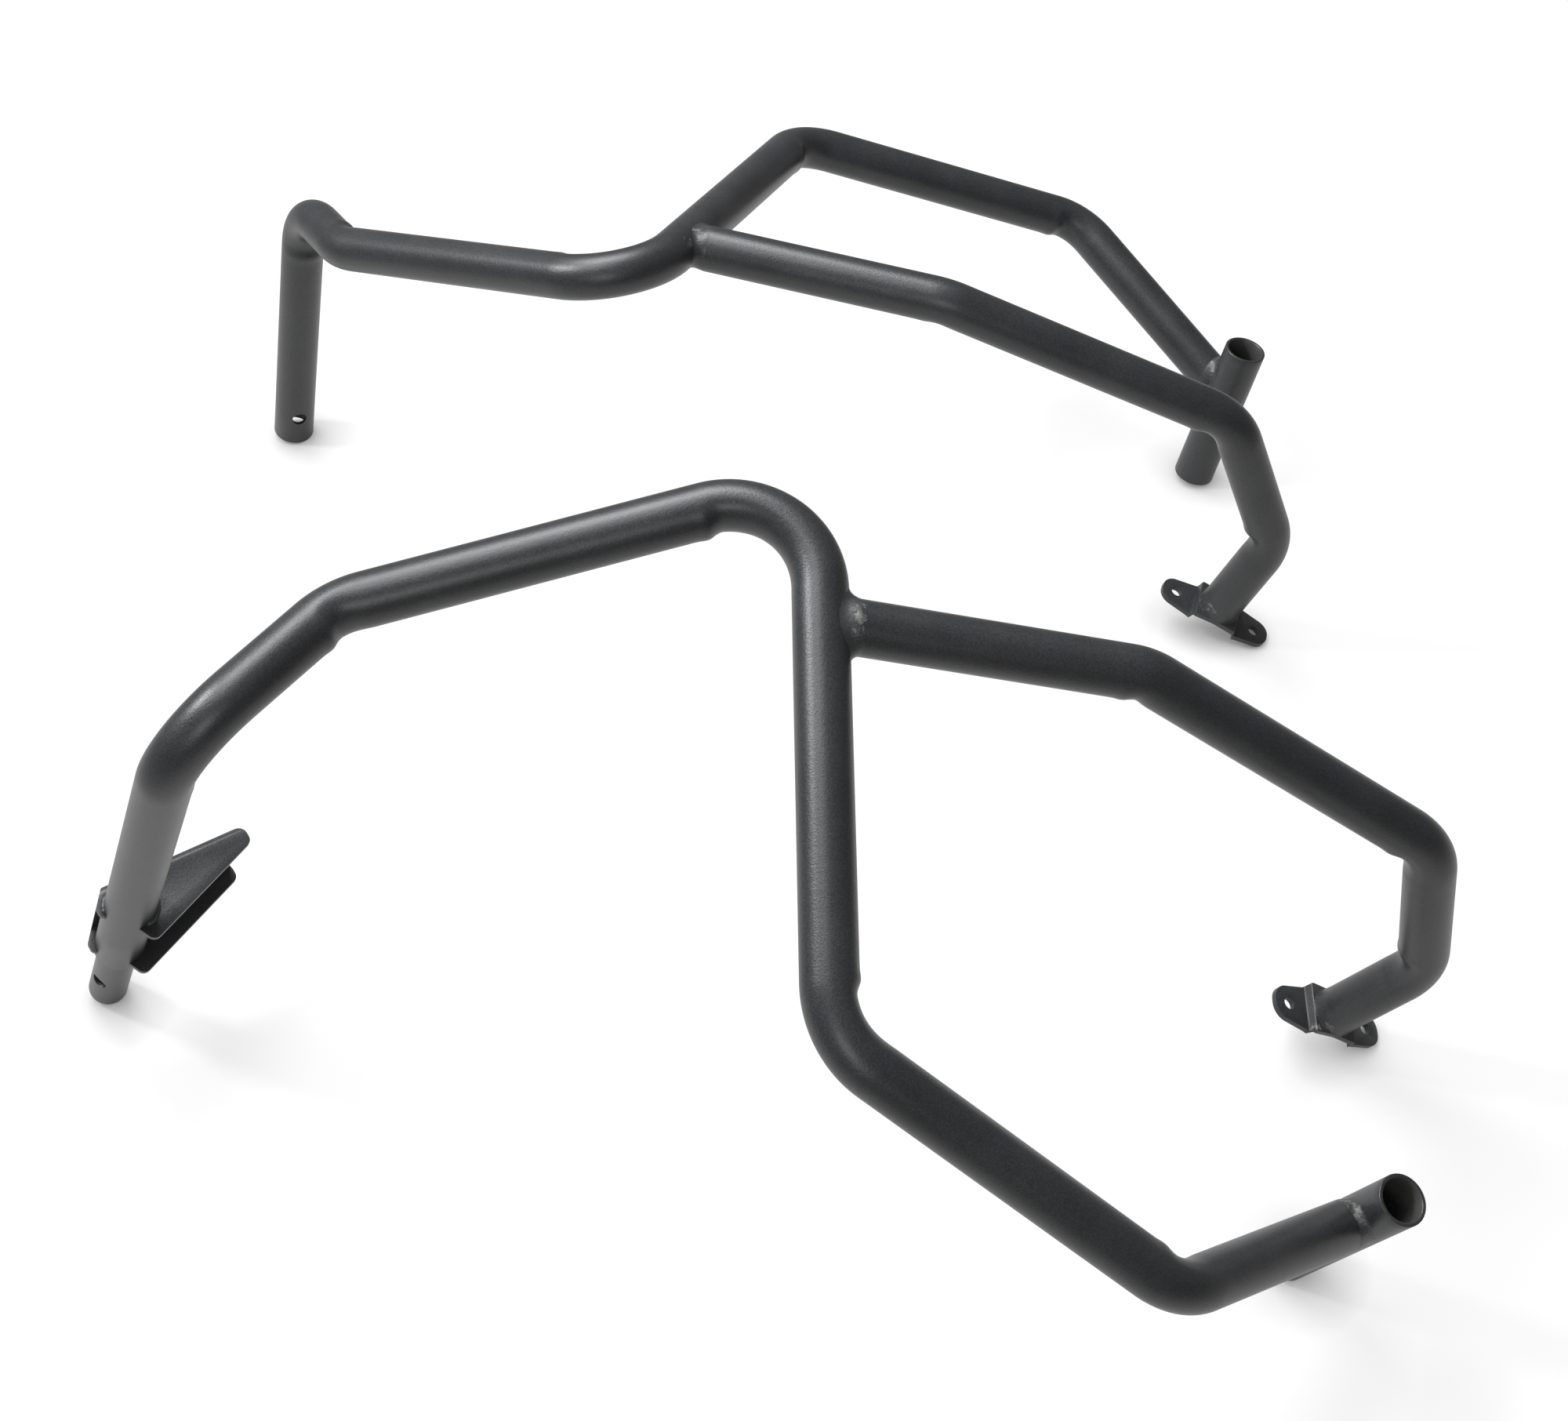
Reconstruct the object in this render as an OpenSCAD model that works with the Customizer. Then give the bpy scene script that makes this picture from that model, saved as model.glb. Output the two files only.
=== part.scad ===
// Pair of tubular crash bars for a motorcycle, standing on the floor as they are unpacked.
// Each bar is a bent main tube with a branch welded to it, a cross sleeve at its free end,
// a stepped bolt plate at the end of the branch and a bolted mounting end.
// Both bars follow one bend table. The far bar is the mirror image of the near one,
// apart from its first corner, its shorter mounting end and the missing channel.
//
// How the bend table reads: a bar is written from its first corner onwards. Every further
// leg is one row of roll, bend and length. Roll turns the plane of the bend about the tube,
// bend is the angle of the corner and length runs from corner to corner on the centreline.

/* [Tube] */
// Outside diameter of every bent tube
tube_d = 25; // [20:0.5:30]
// Wall of every bent tube
tube_wall = 2; // [1.5:0.1:3]
// Radius of every bend on the centreline
bend_radius = 40; // [34:1:46]
// How much the inner side of a bend is squeezed
bend_squeeze = 1.2; // [0.4:0.1:1.4]

/* [First corner of the near bar] */
// Angle of the corner
near_bend_1 = 82.5; // [60:0.5:90]
// Leg after the corner
near_run_1 = 93; // [80:1:120]
// Roll before the second corner
near_roll_2 = -117; // [-130:1:-100]
// Angle of the second corner
near_bend_2 = 35; // [20:0.5:45]

/* [First corner of the far bar] */
// Angle of the corner
far_bend_1 = 70; // [55:0.5:90]
// Leg after the corner
far_run_1 = 64; // [60:1:100]
// Roll before the second corner
far_roll_2 = -112; // [-130:1:-100]
// Angle of the second corner
far_bend_2 = 27.5; // [20:0.5:45]

/* [Main tube] */
// Lower leg between the second and the third corner
run_2 = 216; // [180:1:260]
// Roll before the third corner
roll_3 = 19; // [0:1:40]
// Angle of the third corner
bend_3 = 104.5; // [90:0.5:115]
// Front leg that carries the branch
run_3 = 247; // [220:1:300]
// Roll before the fourth corner
roll_4 = 150.5; // [140:0.5:165]
// Angle of the fourth corner
bend_4 = 60.5; // [45:0.5:75]
// Leg between the fourth and the fifth corner
run_4 = 192; // [160:1:230]
// Roll before the fifth corner
roll_5 = -19.5; // [-35:0.5:0]
// Angle of the fifth corner
bend_5 = 47.5; // [35:0.5:60]
// Last leg, up to the middle of the sleeve
run_5 = 145; // [120:1:180]

/* [Branch] */
// Distance of the joint from the third corner
joint_at = 66; // [60:1:90]
// Roll of the branch about the main tube
branch_roll_0 = 165.5; // [150:0.5:180]
// Angle between the branch and the main tube
branch_tilt = 84.5; // [75:0.5:95]
// Leg from the main tube to the first corner of the branch
branch_run_0 = 148; // [120:1:180]
// Roll before the first corner
branch_roll_1 = -129.5; // [-145:0.5:-115]
// Angle of the first corner
branch_bend_1 = 22; // [15:0.5:35]
// Leg between the first and the second corner
branch_run_1 = 176; // [150:1:210]
// Roll before the second corner
branch_roll_2 = 24; // [10:1:40]
// Angle of the second corner
branch_bend_2 = 46; // [35:0.5:60]
// Leg between the second and the third corner
branch_run_2 = 99; // [80:1:130]
// Roll before the third corner
branch_roll_3 = 0.5; // [-15:0.5:15]
// Angle of the third corner
branch_bend_3 = 42.5; // [30:0.5:55]
// Last leg, up to the upper face of the two lugs
branch_run_3 = 68; // [50:1:90]

/* [Sleeve] */
// Roll of the sleeve about the last leg
sleeve_roll = -87; // [-110:1:-60]
// Angle between the sleeve and the last leg
sleeve_tilt = 72; // [60:1:90]
// Length of the sleeve above the last leg
sleeve_up = 35; // [25:1:50]
// Length of the sleeve below the last leg
sleeve_down = 65; // [50:1:90]

/* [Bolt plate] */
// Thickness of the plate
plate_t = 3; // [2:0.5:4]
// Distance between its two holes
plate_holes = 53; // [48:1:60]
// Diameter of its holes
plate_hole_d = 6.5; // [5.5:0.1:8.5]
// Radius of the round end of a lug
lug_r = 9; // [8:0.5:11]
// Width where the lugs are folded
fold_w = 26; // [24:1:32]
// Length of the raised middle between the folds
middle_len = 30.8; // [28.5:0.1:33]
// Height of the middle above the lugs
plate_step = 3.5; // [2.5:0.1:5]
// Length of each fold
fold_len = 2.6; // [1.6:0.1:4]
// Width at the waist
waist_w = 22.5; // [20:0.5:24]
// Turn of the plate about the branch
plate_turn = 170; // [160:1:180]

/* [Mounting ends] */
// Bent tube that shows below the channel at the near end
tube_below = 6; // [3:1:12]
// Length of the spigot that shows below the bent tube
spigot_out = 66; // [50:1:80]
// Outside diameter of the spigot
spigot_d = 20; // [15:0.5:20.5]
// Bore of the spigot
spigot_bore = 14; // [10:0.5:15]
// Length of the spigot inside the tube
spigot_in = 25; // [15:1:40]
// Hole through the spigot, measured from its tip
near_hole_at = 30; // [20:1:40]
// Length of the far end from the first corner
far_end = 189; // [160:1:220]
// Hole through the far end, measured from its tip
far_hole_at = 22; // [16:1:30]
// Turn of the far hole away from the plane of the first bend
far_hole_turn = 6; // [-20:1:20]
// Diameter of both end holes
end_hole_d = 9; // [7:0.5:10.5]

/* [Channel] */
// Distance of the upper face from the first corner
channel_at = 197; // [190:1:200]
// Height of the channel along the tube
channel_h = 56; // [45:1:58]
// Thickness of its metal
channel_t = 3; // [2:0.5:3.5]
// Outside radius of its two folds
channel_fold = 4.5; // [3.5:0.5:6]
// Reach of the channel beyond the middle of the tube
channel_reach = 68.5; // [55:0.5:75]
// Depth of the flanges in front of the tube
channel_front = 21; // [18:0.5:24]
// Width of the flanges at the tip
channel_tip = 10.5; // [9.5:0.5:14]
// Radius of the tip at the back
tip_r_back = 6; // [3:0.5:6]
// Radius of the other corners of the flanges
tip_r_front = 4; // [2:0.5:4.5]
// Turn of the channel about the tube
channel_turn = -16.5; // [-25:0.5:-10]

/* [Welds] */
// Radius of the beads where two tubes meet
joint_bead = 3.4; // [2.8:0.1:4]
// Step between two ripples of a bead
ripple = 3.3; // [3:0.1:4]
// Radius of the beads where a tube meets sheet metal
sheet_bead = 2.2; // [1.8:0.1:2.6]
// Height of the cone that closes the step at the spigot
cone_h = 4.5; // [3:0.5:8]
// Room between two pieces that touch
gap = 0.1; // [0.08:0.01:0.2]

/* [Placing] */
// Angle that each bar is turned from the middle line of the pair
toe = 5.6; // [0:0.1:12]
// Near bar, first foot, from side to side
near_x = -315; // [-360:1:-280]
// Near bar, first foot, from front to back
near_y = -214; // [-260:1:-160]
// Far bar, first foot, from side to side
far_x = -340.5; // [-380:0.5:-300]
// Far bar, first foot, from front to back
far_y = 229; // [180:1:300]

/* [Hidden] */
// Ends of the near bar's tube and spigot, from its first corner
near_tube_end = channel_at + channel_h + tube_below;
near_end = near_tube_end + spigot_out;
// Where the beads on the sheet pieces start and end, around the tube
right_arc = [-78, 50];
left_arc = [128, 172];
plate_arc = 38;
// Facets of a full circle
$fn = 24;
// Facets of the bore of a bent tube
bore_fn = 16;
// Facets of one ripple of a bead
ripple_fn = 13;
// Steps of one rounded corner in sheet metal
corner_steps = 5;
// Length that a cut runs past the metal it opens
over = 2;
// Overlap in degrees of a bend with the straight tube on either side
lap = 1;
// Amount that a bend is thinner than the straight tube
slack = 0.1;
tube_r = tube_d / 2;
bore_r = tube_r - tube_wall;
// A bead sits this deep in the sides of the joint, where the two tubes are level
bead_sink = joint_bead * 0.55;
black = [0.16, 0.16, 0.17];
bead_grey = [0.36, 0.36, 0.37];

// Rows of roll, bend and length
shared_legs = [
    [roll_3, bend_3, run_3],
    [roll_4, bend_4, run_4],
    [roll_5, bend_5, run_5]
];
near_legs = concat([[0, near_bend_1, near_run_1], [near_roll_2, near_bend_2, run_2]], shared_legs);
far_legs = concat([[0, far_bend_1, far_run_1], [far_roll_2, far_bend_2, run_2]], shared_legs);
branch_legs = [
    [branch_roll_1, branch_bend_1, branch_run_1],
    [branch_roll_2, branch_bend_2, branch_run_2],
    [branch_roll_3, branch_bend_3, branch_run_3]
];

function unit(v) = v / norm(v);
function roll_m(a) = [[cos(a), -sin(a), 0, 0], [sin(a), cos(a), 0, 0], [0, 0, 1, 0], [0, 0, 0, 1]];
function tilt_m(a) = [[cos(a), 0, sin(a), 0], [0, 1, 0, 0], [-sin(a), 0, cos(a), 0], [0, 0, 0, 1]];
function along_m(d) = [[1, 0, 0, 0], [0, 1, 0, 0], [0, 0, 1, d], [0, 0, 0, 1]];
function leg_m(leg) = roll_m(leg[0]) * tilt_m(leg[1]) * along_m(leg[2]);
// Frame at the end of the first n legs, with its third axis along the tube
function frame(legs, n) = n == 0 ? along_m(0) : frame(legs, n - 1) * leg_m(legs[n - 1]);
function place_of(m) = [m[0][3], m[1][3], m[2][3]];
function axis_of(m) = [m[0][2], m[1][2], m[2][2]];
// Length that a bend takes from the legs on both of its sides
function setback(bend) = bend_radius * tan(bend / 2);

function joint_frame(legs) = frame(legs, 2) * leg_m([roll_3, bend_3, joint_at]);
function branch_frame(legs) = joint_frame(legs) * leg_m([branch_roll_0, branch_tilt, branch_run_0]);
function plate_frame(legs) = branch_frame(legs) * frame(branch_legs, 3) * roll_m(plate_turn);
function sleeve_frame(legs) = frame(legs, 5) * leg_m([sleeve_roll, sleeve_tilt, 0]);

// A foot is a round rim: its centre, its axis, its radius and the metal below the rim
function foot(rim, up) = rim[0] + rim[2] * unit((up * rim[1]) * rim[1] - up) + rim[3] * rim[1];
function lift(p, q, s, inner) = let (n = unit(cross(q - p, s - p))) (n * (inner - p) < 0 ? -n : n);
function settle(rims, inner, up, n) =
    n == 0 ? up : settle(rims, inner, lift(foot(rims[0], up), foot(rims[1], up), foot(rims[2], up), inner), n - 1);
function rims(legs, tip, tip_r) = [
    [[0, 0, -tip], [0, 0, 1], tip_r, 0],
    [place_of(sleeve_frame(legs) * along_m(sleeve_down)), axis_of(sleeve_frame(legs)), tube_r, 0],
    [
        place_of(plate_frame(legs)) + place_of(plate_frame(legs) * [[1, 0, 0, plate_holes / 2], [0, 1, 0, 0],
            [0, 0, 1, 0], [0, 0, 0, 1]]) - place_of(plate_frame(legs)),
        axis_of(plate_frame(legs)), lug_r, plate_t
    ]
];
// Turns a bar so that its mounting end, its sleeve and its outer lug all stand on the floor
function stand_m(legs, tip, tip_r) =
    let (
        feet = rims(legs, tip, tip_r),
        inner = place_of(frame(legs, 3)),
        up = settle(feet, inner, lift(feet[0][0], feet[1][0], feet[2][0], inner), 12),
        p = foot(feet[0], up),
        x = unit(foot(feet[1], up) - p),
        y = cross(up, x)
    )
    [[x[0], x[1], x[2], -x * p], [y[0], y[1], y[2], -y * p], [up[0], up[1], up[2], -up * p], [0, 0, 0, 1]];

// Points of a rounded corner b between its neighbours a and c
function corner(a, b, c, r) = r == 0 ? [b] :
    let (
        u = unit(a - b),
        v = unit(c - b),
        half = acos(u * v) / 2,
        mid = b + unit(u + v) * r / sin(half),
        from = b + u * r / tan(half) - mid,
        first = atan2(from[1], from[0]),
        sweep = (180 - 2 * half) * (cross(u, v) > 0 ? -1 : 1)
    )
    [for (k = [0:corner_steps]) mid + r * [cos(first + sweep * k / corner_steps), sin(first + sweep * k / corner_steps)]];
// Outline from a list of corners, each written as x, y and its radius
function outline(list) = [
    for (k = [0:len(list) - 1])
        let (
            n = len(list),
            a = list[(k + n - 1) % n],
            b = list[k],
            c = list[(k + 1) % n]
        )
        each corner([a[0], a[1]], [b[0], b[1]], [c[0], c[1]], b[2])
];

// One bend that starts at the end of the straight tube below the origin
module bend(angle, r) {
    translate([bend_radius, 0, -setback(angle)])
        rotate([90, 0, 180])
            rotate([0, 0, -lap])
                rotate_extrude(angle = angle + 2 * lap)
                    intersection() {
                        translate([bend_radius, 0])
                            circle(r = r);
                        translate([bend_radius + bend_squeeze, 0])
                            circle(r = r);
                    }
}

// Solid rod along the legs, from its lead-in to a length past or short of its last corner
module rod(lead, legs, r, more) {
    last = len(legs) - 1;
    translate([0, 0, -lead])
        cylinder(h = lead - setback(legs[0][1]), r = r);
    for (k = [0:last])
        multmatrix(frame(legs, k) * roll_m(legs[k][0])) {
            bend(legs[k][1], r - slack);
            after = k == last ? -more : setback(legs[k + 1][1]);
            rotate([0, legs[k][1], 0])
                translate([0, 0, setback(legs[k][1])])
                    cylinder(h = legs[k][2] - setback(legs[k][1]) - after, r = r);
        }
}

module pipe(lead, legs, more) {
    difference() {
        rod(lead, legs, tube_r, more);
        rod(lead + over, legs, bore_r, more + over, $fn = bore_fn);
    }
}

// Chain of ripples
module bead(points, r) {
    for (p = points)
        translate(p)
            sphere(r = r, $fn = ripple_fn);
}

// Points where a branch at the given angle meets the tube that runs along the third axis
function saddle(angle, n) = [
    for (k = [0:n - 1])
        let (
            t = 360 * (k + 0.5) / n,
            reach = tube_r * abs(sin(t)),
            slope = sin(t) > 0 ? 1 / tan(angle / 2) : -tan(angle / 2)
        )
        [reach, (tube_r - bead_sink) * cos(t), reach * slope]
];

module joint_weld(angle) {
    difference() {
        bead(saddle(angle, round(7.6 * tube_r / ripple)), joint_bead);
        cylinder(h = 6 * tube_r, r = tube_r + gap, center = true);
        rotate([0, angle, 0])
            cylinder(h = 6 * tube_r, r = tube_r + gap, center = true);
    }
}

// Quarter-round bead along part of the tube, standing on sheet metal that lies at height zero
module sheet_weld(first, last) {
    rotate([0, 0, first])
        rotate_extrude(angle = last - first)
            intersection() {
                translate([tube_r - gap, -gap])
                    circle(r = sheet_bead);
                translate([tube_r + gap, gap])
                    square(2 * sheet_bead);
            }
}

module main_tube(legs, tip) {
    difference() {
        pipe(tip, legs, 0);
        multmatrix(sleeve_frame(legs))
            cylinder(h = 4 * tube_r, r = tube_r + gap, center = true);
    }
}

module branch(legs) {
    start = joint_frame(legs) * roll_m(branch_roll_0);
    multmatrix(start)
        difference() {
            rotate([0, branch_tilt, 0])
                translate([0, 0, branch_run_0])
                    pipe(branch_run_0, branch_legs, -plate_step - gap);
            cylinder(h = 4 * tube_r, r = tube_r + gap, center = true);
        }
}

module sleeve(legs) {
    multmatrix(sleeve_frame(legs))
        difference() {
            translate([0, 0, -sleeve_up])
                cylinder(h = sleeve_up + sleeve_down, r = tube_r);
            translate([0, 0, -sleeve_up - over])
                cylinder(h = sleeve_up + sleeve_down + 2 * over, r = bore_r);
        }
}

module tee_weld(legs) {
    multmatrix(joint_frame(legs) * roll_m(branch_roll_0))
        joint_weld(branch_tilt);
}

module sleeve_weld(legs) {
    multmatrix(sleeve_frame(legs))
        joint_weld(180 - sleeve_tilt);
}

// Bolt plate: the folded strip seen from its edge, cut to the outline seen from above
module plate(legs) {
    half = middle_len / 2;
    low = half + fold_len / 2;
    high = half - fold_len / 2;
    lug = plate_holes / 2;
    end = lug + lug_r;
    depth = fold_w / 2;
    slope = atan2(depth, lug - half) - asin(lug_r / norm([lug - half, depth]));
    corner_y = lug_r * tan(45 - slope / 2);
    side = [
        [-end - over, 0], [-low, 0], [-high, -plate_step], [high, -plate_step], [low, 0], [end + over, 0],
        [end + over, plate_t], [low, plate_t], [high, plate_t - plate_step], [-high, plate_t - plate_step],
        [-low, plate_t], [-end - over, plate_t]
    ];
    waist = waist_w / 2;
    shape = outline([
        [end, corner_y, lug_r - gap], [half, depth, 3], [half / 3, waist, half / 2], [-half / 3, waist, half / 2],
        [-half, depth, 3], [-end, corner_y, lug_r - gap],
        [-end, -corner_y, lug_r - gap], [-half, -depth, 3], [-half / 3, -waist, half / 2], [half / 3, -waist, half / 2],
        [half, -depth, 3], [end, -corner_y, lug_r - gap]
    ]);
    multmatrix(plate_frame(legs))
        difference() {
            intersection() {
                rotate([90, 0, 0])
                    translate([0, 0, -fold_w])
                        linear_extrude(height = 2 * fold_w)
                            polygon(side);
                translate([0, 0, -plate_step - over])
                    linear_extrude(height = plate_step + plate_t + 2 * over)
                        polygon(shape);
            }
            for (x = [-plate_holes / 2, plate_holes / 2])
                translate([x, 0, -over])
                    cylinder(h = plate_t + 2 * over, d = plate_hole_d);
        }
}

// Bead on one side of the branch, on the raised middle of the plate
module plate_weld(legs, turn) {
    multmatrix(plate_frame(legs))
        translate([0, 0, -plate_step])
            mirror([0, 0, 1])
                rotate([0, 0, turn])
                    sheet_weld(-plate_arc, plate_arc);
}

module spigot() {
    difference() {
        translate([0, 0, -near_end])
            cylinder(h = near_end - near_tube_end + spigot_in, d = spigot_d);
        translate([0, 0, -near_end - over])
            cylinder(h = near_end - near_tube_end + spigot_in + 2 * over, d = spigot_bore);
        translate([0, 0, near_hole_at - near_end])
            rotate([0, 90, 0])
                cylinder(h = 2 * spigot_d, d = end_hole_d, center = true);
    }
}

module spigot_weld() {
    inner = spigot_d / 2 + gap;
    rotate_extrude()
        polygon([
            [inner, -near_tube_end - gap], [tube_r - slack, -near_tube_end - gap],
            [inner + (tube_r - inner) * 0.4, -near_tube_end - cone_h * 0.75], [inner, -near_tube_end - cone_h]
        ]);
}

// Channel: its section along the tube, cut to the outline of its flanges
module channel() {
    back = tube_r + 2 * gap + channel_t;
    side = outline([
        [-2 * channel_front, -channel_h, 0], [back, -channel_h, channel_fold], [back, 0, channel_fold],
        [-2 * channel_front, 0, 0], [-2 * channel_front, -channel_t, 0],
        [back - channel_t, -channel_t, channel_fold - channel_t],
        [back - channel_t, channel_t - channel_h, channel_fold - channel_t],
        [-2 * channel_front, channel_t - channel_h, 0]
    ]);
    left = -tube_r - sheet_bead;
    shape = outline([
        [left / 2, back, tip_r_front], [channel_reach, back, tip_r_back],
        [channel_reach, back - channel_tip, tip_r_front], [channel_t, -channel_front, tip_r_front],
        [-tube_r / 3, -tube_r / 2, 0], [-tube_r / 2, 0, 0], [left, 0, channel_t], [left, tube_r / 2, tip_r_front]
    ]);
    translate([0, 0, -channel_at])
        rotate([0, 0, channel_turn])
            difference() {
                intersection() {
                    translate([-2 * tube_d, 0, 0])
                        rotate([90, 0, 90])
                            linear_extrude(height = channel_reach + 3 * tube_d)
                                polygon(side);
                    translate([0, 0, -channel_h - over])
                        linear_extrude(height = channel_h + 2 * over)
                            polygon(shape);
                }
                translate([0, 0, -channel_h - over])
                    cylinder(h = channel_h + 2 * over, r = tube_r + gap);
            }
}

// Beads round part of the tube, on the upper and on the lower face of the channel
module weld_above(first, last) {
    translate([0, 0, -channel_at])
        rotate([0, 0, channel_turn])
            sheet_weld(first, last);
}

module weld_below(first, last) {
    translate([0, 0, -channel_at - channel_h])
        rotate([0, 0, channel_turn])
            mirror([0, 0, 1])
                sheet_weld(first, last);
}

module near_bar() {
    translate([near_x, near_y, 0])
        rotate([0, 0, -toe])
            multmatrix(stand_m(near_legs, near_end, spigot_d / 2))
                children();
}

module far_bar() {
    translate([far_x, far_y, 0])
        rotate([0, 0, toe])
            mirror([0, 1, 0])
                multmatrix(stand_m(far_legs, far_end, tube_r))
                    children();
}

module near_tube() {
    color(black)
        near_bar()
            main_tube(near_legs, near_tube_end);
}

module near_branch() {
    color(black)
        near_bar()
            branch(near_legs);
}

module near_sleeve() {
    color(black)
        near_bar()
            sleeve(near_legs);
}

module near_plate() {
    color(black)
        near_bar()
            plate(near_legs);
}

module near_tee_weld() {
    color(bead_grey)
        near_bar()
            tee_weld(near_legs);
}

module near_sleeve_weld() {
    color(bead_grey)
        near_bar()
            sleeve_weld(near_legs);
}

module near_plate_weld_outer() {
    color(bead_grey)
        near_bar()
            plate_weld(near_legs, 0);
}

module near_plate_weld_inner() {
    color(bead_grey)
        near_bar()
            plate_weld(near_legs, 180);
}

module near_spigot() {
    color(black)
        near_bar()
            spigot();
}

module near_spigot_weld() {
    color(bead_grey)
        near_bar()
            spigot_weld();
}

module near_channel() {
    color(black)
        near_bar()
            channel();
}

module near_channel_weld_top() {
    color(bead_grey)
        near_bar()
            weld_above(right_arc[0], right_arc[1]);
}

module near_channel_weld_foot() {
    color(bead_grey)
        near_bar()
            weld_below(right_arc[0], right_arc[1]);
}

module near_channel_weld_top_left() {
    color(bead_grey)
        near_bar()
            weld_above(left_arc[0], left_arc[1]);
}

module near_channel_weld_foot_left() {
    color(bead_grey)
        near_bar()
            weld_below(left_arc[0], left_arc[1]);
}

module far_tube() {
    color(black)
        far_bar()
            difference() {
                main_tube(far_legs, far_end);
                translate([0, 0, far_hole_at - far_end])
                    rotate([0, 90, far_hole_turn])
                        cylinder(h = 2 * tube_d, d = end_hole_d, center = true);
            }
}

module far_branch() {
    color(black)
        far_bar()
            branch(far_legs);
}

module far_sleeve() {
    color(black)
        far_bar()
            sleeve(far_legs);
}

module far_plate() {
    color(black)
        far_bar()
            plate(far_legs);
}

module far_tee_weld() {
    color(bead_grey)
        far_bar()
            tee_weld(far_legs);
}

module far_sleeve_weld() {
    color(bead_grey)
        far_bar()
            sleeve_weld(far_legs);
}

module far_plate_weld_outer() {
    color(bead_grey)
        far_bar()
            plate_weld(far_legs, 0);
}

module far_plate_weld_inner() {
    color(bead_grey)
        far_bar()
            plate_weld(far_legs, 180);
}

near_tube();
near_branch();
near_sleeve();
near_plate();
near_tee_weld();
near_sleeve_weld();
near_plate_weld_outer();
near_plate_weld_inner();
near_spigot();
near_spigot_weld();
near_channel();
near_channel_weld_top();
near_channel_weld_foot();
near_channel_weld_top_left();
near_channel_weld_foot_left();
far_tube();
far_branch();
far_sleeve();
far_plate();
far_tee_weld();
far_sleeve_weld();
far_plate_weld_outer();
far_plate_weld_inner();
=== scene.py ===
# Pair of black tubular crash bars for a motorcycle, in the light and at the angle of a catalogue picture.
# Both bars come from one bend table, so a bend is changed in one place and both bars follow.
# Lengths are in mm and angles in degrees until a piece is placed; the scene itself is in metres.
import math
import bpy
import bmesh
from mathutils import Matrix, Vector, noise


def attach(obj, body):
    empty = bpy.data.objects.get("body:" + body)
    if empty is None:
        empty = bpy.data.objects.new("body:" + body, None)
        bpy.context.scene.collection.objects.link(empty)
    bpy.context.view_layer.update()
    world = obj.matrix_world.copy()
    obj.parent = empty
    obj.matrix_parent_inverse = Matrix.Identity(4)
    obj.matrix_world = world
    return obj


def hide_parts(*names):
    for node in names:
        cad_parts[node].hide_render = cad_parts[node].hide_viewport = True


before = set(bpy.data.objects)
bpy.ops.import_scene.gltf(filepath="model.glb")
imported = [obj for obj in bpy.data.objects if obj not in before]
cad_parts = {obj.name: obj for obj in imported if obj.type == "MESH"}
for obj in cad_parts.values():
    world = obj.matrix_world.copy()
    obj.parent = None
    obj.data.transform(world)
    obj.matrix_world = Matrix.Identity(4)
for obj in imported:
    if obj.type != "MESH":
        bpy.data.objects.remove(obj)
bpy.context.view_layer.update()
mm = 0.001


def linear(hexColour):
    # sRGB hex to the linear colour that shaders take
    parts = [int(hexColour[i:i + 2], 16) / 255 for i in (1, 3, 5)]
    return tuple(c / 12.92 if c <= 0.04045 else ((c + 0.055) / 1.055) ** 2.4 for c in parts) + (1.0,)


def smooth(edgeA, edgeB, x):
    t = min(1.0, max(0.0, (x - edgeA) / (edgeB - edgeA)))
    return t * t * (3 - 2 * t)


def rollBy(degrees):
    return Matrix.Rotation(math.radians(degrees), 4, "Z")


def tiltBy(degrees):
    return Matrix.Rotation(math.radians(degrees), 4, "Y")


def moveBy(x, y, z):
    return Matrix.Translation((x, y, z))


# rim is the rounding of an open end, with its shares outside and inside; boreDepth is how far in the bore is made;
# the rest spaces the rings: close ones before and after a bend, wide ones on a straight run
tube = {"radius": 12.5, "bore": 10.5, "bendRadius": 40.0, "around": 72, "rim": 0.5, "rimOut": 0.3, "rimIn": 0.8,
        "boreDepth": 90.0, "fineBefore": 14.0, "fineStep": 1.5, "fineAfter": 4, "wideSteps": 6,
        "turnStep": 2.0, "fewestTurns": 10}

# a leg: roll about the tube, bend, length to the next corner
sharedLegs = [(19.0, 104.5, 247.0), (150.5, 60.5, 192.0), (-19.5, 47.5, 145.0)]
branchLegs = [(-129.5, 22.0, 176.0), (24.0, 46.0, 99.0), (0.5, 42.5, 68.0)]
branchStart = {"at": 66.0, "roll": 165.5, "tilt": 84.5, "run": 148.0}
bars = {
    "near": {"legs": [(0.0, 82.5, 93.0), (-117.0, 35.0, 216.0)] + sharedLegs, "lead": 259.0, "tip": 325.0,
             "tipRadius": 10.0, "place": (-315.0, -214.0), "turn": -5.6, "flip": 1},
    "far": {"legs": [(0.0, 70.0, 64.0), (-112.0, 27.5, 216.0)] + sharedLegs, "lead": 189.0, "tip": 189.0,
            "tipRadius": 12.5, "place": (-340.5, 229.0), "turn": 5.6, "flip": -1},
}
farHole = {"fromTip": 22.0, "turn": 6.0, "radius": 4.5}


def legStep(leg):
    roll, bend, run = leg
    return rollBy(roll) @ tiltBy(bend) @ moveBy(0, 0, run)


def frameAfter(legs, count):
    result = Matrix.Identity(4)
    for leg in legs[:count]:
        result = result @ legStep(leg)
    return result


def setback(bend):
    # from a corner back to where its bend starts
    return tube["bendRadius"] * math.tan(math.radians(bend) / 2)


def jointFrame(legs):
    return frameAfter(legs, 2) @ legStep((legs[2][0], legs[2][1], branchStart["at"]))


def branchCorner(legs):
    return jointFrame(legs) @ legStep((branchStart["roll"], branchStart["tilt"], branchStart["run"]))


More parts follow.
